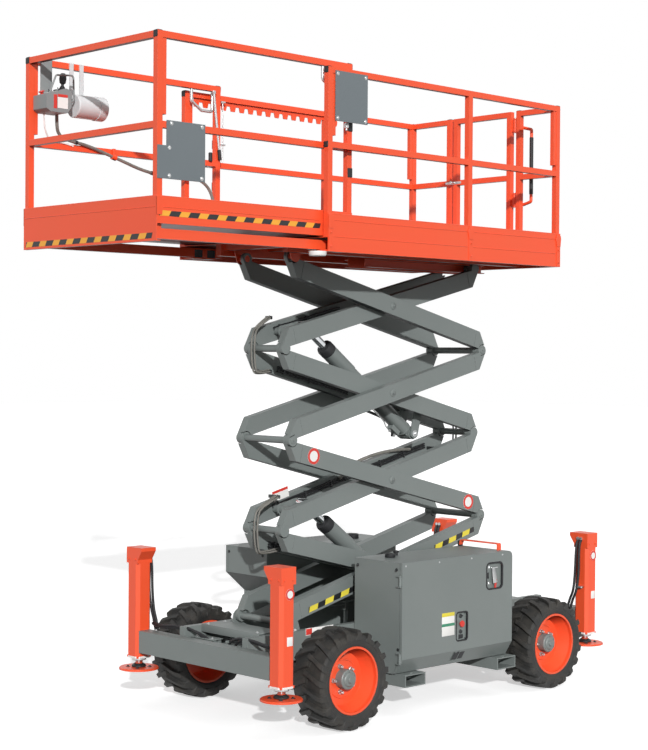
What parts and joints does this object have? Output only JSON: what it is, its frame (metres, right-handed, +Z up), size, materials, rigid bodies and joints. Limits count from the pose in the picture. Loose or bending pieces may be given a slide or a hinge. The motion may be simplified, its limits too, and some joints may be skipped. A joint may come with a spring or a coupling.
{
  "type": "scissor lift",
  "caption": "Rough-terrain scissor lift with a railed platform raised part way, slide-out deck extension, steered wheels and corner outriggers.",
  "frame": {"origin": "middle of the whole footprint, at ground level", "axes": "+Z up; -X is the front, with the steered wheels and the deck extension; +X is the entry end; -Y is the machine's left side"},
  "size_m": [4.257, 1.736, 4.342],
  "materials": {
    "tyre_rubber": "matt moulded rubber",
    "rim_paint": "gloss enamel",
    "rod_chrome": "hard chrome",
    "orange_paint": "satin powder coat",
    "grey_paint": "satin powder coat",
    "engine_iron": "plain",
    "control_plastic": "satin",
    "axle_paint": "satin black paint",
    "zinc_plate": "satin",
    "pale_plastic": "satin"
  },
  "bodies": {
    "chassis": {"chassis_frame": "grey_paint", "front_axle": "axle_paint", "rear_axle": "axle_paint", "fork_pockets": "grey_paint", "cabinet_left": "grey_paint", "cabinet_right": "grey_paint", "engine_block": "engine_iron", "steering_cylinder": "axle_paint", "cabinet_grab_bar": "orange_paint", "outrigger_post_front_left": "orange_paint", "outrigger_post_front_right": "orange_paint", "outrigger_post_rear_left": "orange_paint", "outrigger_post_rear_right": "orange_paint"},
    "arm_1_outer": {"scissor_arm_1_outer": "grey_paint"},
    "arm_1_inner": {"scissor_arm_1_inner": "grey_paint"},
    "arm_2_inner": {"scissor_arm_2_inner": "grey_paint"},
    "arm_2_outer": {"scissor_arm_2_outer": "grey_paint"},
    "arm_3_inner": {"scissor_arm_3_inner": "grey_paint"},
    "arm_3_outer": {"scissor_arm_3_outer": "grey_paint"},
    "arm_4_inner": {"scissor_arm_4_inner": "grey_paint"},
    "arm_4_outer": {"scissor_arm_4_outer": "grey_paint"},
    "platform": {"platform_deck": "orange_paint", "guard_rail_left": "orange_paint", "guard_rail_right": "orange_paint", "guard_rail_rear": "orange_paint", "deck_panel": "grey_paint"},
    "barrel_lower": {"lift_cylinder_lower": "grey_paint"},
    "rod_lower": {"lift_rod_lower": "rod_chrome"},
    "barrel_upper": {"lift_cylinder_upper": "grey_paint"},
    "rod_upper": {"lift_rod_upper": "rod_chrome"},
    "extension": {"extension_deck": "orange_paint", "extension_rails": "orange_paint", "extension_panel": "grey_paint", "control_box": "control_plastic", "push_handles": "zinc_plate", "document_canister": "pale_plastic"},
    "entry_gate": {"entry_gate": "orange_paint"},
    "knuckle_left": {"steering_knuckle_left": "axle_paint"},
    "knuckle_right": {"steering_knuckle_right": "axle_paint"},
    "steering_rod": {"steering_rod": "rod_chrome"},
    "wheel_front_left": {"tyre_front_left": "tyre_rubber", "rim_front_left": "rim_paint"},
    "wheel_front_right": {"tyre_front_right": "tyre_rubber", "rim_front_right": "rim_paint"},
    "wheel_rear_left": {"tyre_rear_left": "tyre_rubber", "rim_rear_left": "rim_paint"},
    "wheel_rear_right": {"tyre_rear_right": "tyre_rubber", "rim_rear_right": "rim_paint"},
    "leg_front_left": {"outrigger_leg_front_left": "orange_paint"},
    "leg_front_right": {"outrigger_leg_front_right": "orange_paint"},
    "leg_rear_left": {"outrigger_leg_rear_left": "orange_paint"},
    "leg_rear_right": {"outrigger_leg_rear_right": "orange_paint"},
    "door_left": {"cabinet_door_left": "grey_paint"},
    "door_right": {"cabinet_door_right": "grey_paint"}
  },
  "joints": [
    {"name": "lift", "type": "hinge", "parent": "chassis", "child": "arm_1_outer", "pos_m": [-0.6245, 0, 0.626], "axis": [0, -1, 0], "range_deg": [-13.8, 44.6]},
    {"name": "fold_1", "type": "hinge", "parent": "arm_1_outer", "child": "arm_1_inner", "pos_m": [0.34245, 0, 0.93459], "axis": [0, -1, 0], "range_deg": [-89.4, 27.8]},
    {"name": "fold_2", "type": "hinge", "parent": "arm_1_inner", "child": "arm_2_inner", "pos_m": [-0.6245, 0, 1.24319], "axis": [0, -1, 0], "range_deg": [-27.8, 89.4]},
    {"name": "fold_2_outer", "type": "hinge", "parent": "arm_2_inner", "child": "arm_2_outer", "pos_m": [0.34245, 0, 1.55178], "axis": [0, -1, 0], "range_deg": [-89.4, 27.8]},
    {"name": "fold_3", "type": "hinge", "parent": "arm_2_inner", "child": "arm_3_inner", "pos_m": [1.3094, 0, 1.86037], "axis": [0, -1, 0], "range_deg": [-89.4, 27.8]},
    {"name": "fold_3_outer", "type": "hinge", "parent": "arm_3_inner", "child": "arm_3_outer", "pos_m": [0.34245, 0, 2.16897], "axis": [0, -1, 0], "range_deg": [-27.8, 89.4]},
    {"name": "fold_4", "type": "hinge", "parent": "arm_3_inner", "child": "arm_4_inner", "pos_m": [-0.6245, 0, 2.47756], "axis": [0, -1, 0], "range_deg": [-27.8, 89.4]},
    {"name": "fold_4_outer", "type": "hinge", "parent": "arm_4_inner", "child": "arm_4_outer", "pos_m": [0.34245, 0, 2.78615], "axis": [0, -1, 0], "range_deg": [-89.4, 27.8]},
    {"name": "platform_level", "type": "hinge", "parent": "arm_4_outer", "child": "platform", "pos_m": [-0.6245, 0, 3.09475], "axis": [0, -1, 0], "range_deg": [-13.9, 44.7]},
    {"name": "barrel_lower_pivot", "type": "hinge", "parent": "arm_1_inner", "child": "barrel_lower", "pos_m": [0.77681, 0, 0.62802], "axis": [0, -1, 0], "range_deg": [-0.6, 1.83]},
    {"name": "rod_lower_slide", "type": "slide", "parent": "barrel_lower", "child": "rod_lower", "axis": [-0.8067, 0, 0.591], "range_m": [-0.1642, 0.5262]},
    {"name": "barrel_upper_pivot", "type": "hinge", "parent": "arm_3_inner", "child": "barrel_upper", "pos_m": [0.77681, 0, 1.8624], "axis": [0, -1, 0], "range_deg": [-0.6, 1.83]},
    {"name": "rod_upper_slide", "type": "slide", "parent": "barrel_upper", "child": "rod_upper", "axis": [-0.8067, 0, 0.591], "range_m": [-0.1642, 0.5262]},
    {"name": "extension_slide", "type": "slide", "parent": "platform", "child": "extension", "axis": [1, 0, 0], "range_m": [0, 1.28]},
    {"name": "gate_swing", "type": "hinge", "parent": "platform", "child": "entry_gate", "pos_m": [1.5955, -0.331, 3.198], "axis": [0, 0, 1], "range_deg": [0, 90]},
    {"name": "steer_left", "type": "hinge", "parent": "chassis", "child": "knuckle_left", "pos_m": [-0.6175, -0.6, 0.33], "axis": [0, 0, 1], "range_deg": [-35, 35]},
    {"name": "steer_right", "type": "hinge", "parent": "chassis", "child": "knuckle_right", "pos_m": [-0.6175, 0.6, 0.33], "axis": [0, 0, 1], "range_deg": [-35, 35]},
    {"name": "steering_rod_slide", "type": "slide", "parent": "chassis", "child": "steering_rod", "axis": [0, 1, 0], "range_m": [-0.089, 0.089]},
    {"name": "spin_front_left", "type": "hinge", "parent": "knuckle_left", "child": "wheel_front_left", "pos_m": [-0.6175, -0.722, 0.33], "axis": [0, 1, 0], "continuous": true},
    {"name": "spin_front_right", "type": "hinge", "parent": "knuckle_right", "child": "wheel_front_right", "pos_m": [-0.6175, 0.722, 0.33], "axis": [0, 1, 0], "continuous": true},
    {"name": "spin_rear_left", "type": "hinge", "parent": "chassis", "child": "wheel_rear_left", "pos_m": [1.4605, -0.722, 0.33], "axis": [0, 1, 0], "continuous": true},
    {"name": "spin_rear_right", "type": "hinge", "parent": "chassis", "child": "wheel_rear_right", "pos_m": [1.4605, 0.722, 0.33], "axis": [0, 1, 0], "continuous": true},
    {"name": "outrigger_front_left", "type": "slide", "parent": "chassis", "child": "leg_front_left", "axis": [0, 0, -1], "range_m": [0, 0.35]},
    {"name": "outrigger_front_right", "type": "slide", "parent": "chassis", "child": "leg_front_right", "axis": [0, 0, -1], "range_m": [0, 0.35]},
    {"name": "outrigger_rear_left", "type": "slide", "parent": "chassis", "child": "leg_rear_left", "axis": [0, 0, -1], "range_m": [0, 0.35]},
    {"name": "outrigger_rear_right", "type": "slide", "parent": "chassis", "child": "leg_rear_right", "axis": [0, 0, -1], "range_m": [0, 0.35]},
    {"name": "door_left_swing", "type": "hinge", "parent": "chassis", "child": "door_left", "pos_m": [-0.1235, -0.79, 0.7], "axis": [0, 0, -1], "range_deg": [0, 100]},
    {"name": "door_right_swing", "type": "hinge", "parent": "chassis", "child": "door_right", "pos_m": [1.0465, 0.79, 0.7], "axis": [0, 0, -1], "range_deg": [0, 100]}
  ],
  "couplings": [
    {"joint": "fold_1", "follows": "lift", "ratio": -2},
    {"joint": "fold_2", "follows": "lift", "ratio": 2},
    {"joint": "fold_2_outer", "follows": "lift", "ratio": -2},
    {"joint": "fold_3", "follows": "lift", "ratio": -2},
    {"joint": "fold_3_outer", "follows": "lift", "ratio": 2},
    {"joint": "fold_4", "follows": "lift", "ratio": 2},
    {"joint": "fold_4_outer", "follows": "lift", "ratio": -2},
    {"joint": "platform_level", "follows": "lift", "ratio": 1},
    {"joint": "barrel_lower_pivot", "follows": "lift", "ratio": 0.04},
    {"joint": "rod_lower_slide", "follows": "lift", "m_per_rad": 0.67338},
    {"joint": "barrel_upper_pivot", "follows": "lift", "ratio": 0.04},
    {"joint": "rod_upper_slide", "follows": "lift", "m_per_rad": 0.67338},
    {"joint": "steer_right", "follows": "steer_left", "ratio": 1},
    {"joint": "steering_rod_slide", "follows": "steer_left", "m_per_rad": 0.14084}
  ]
}
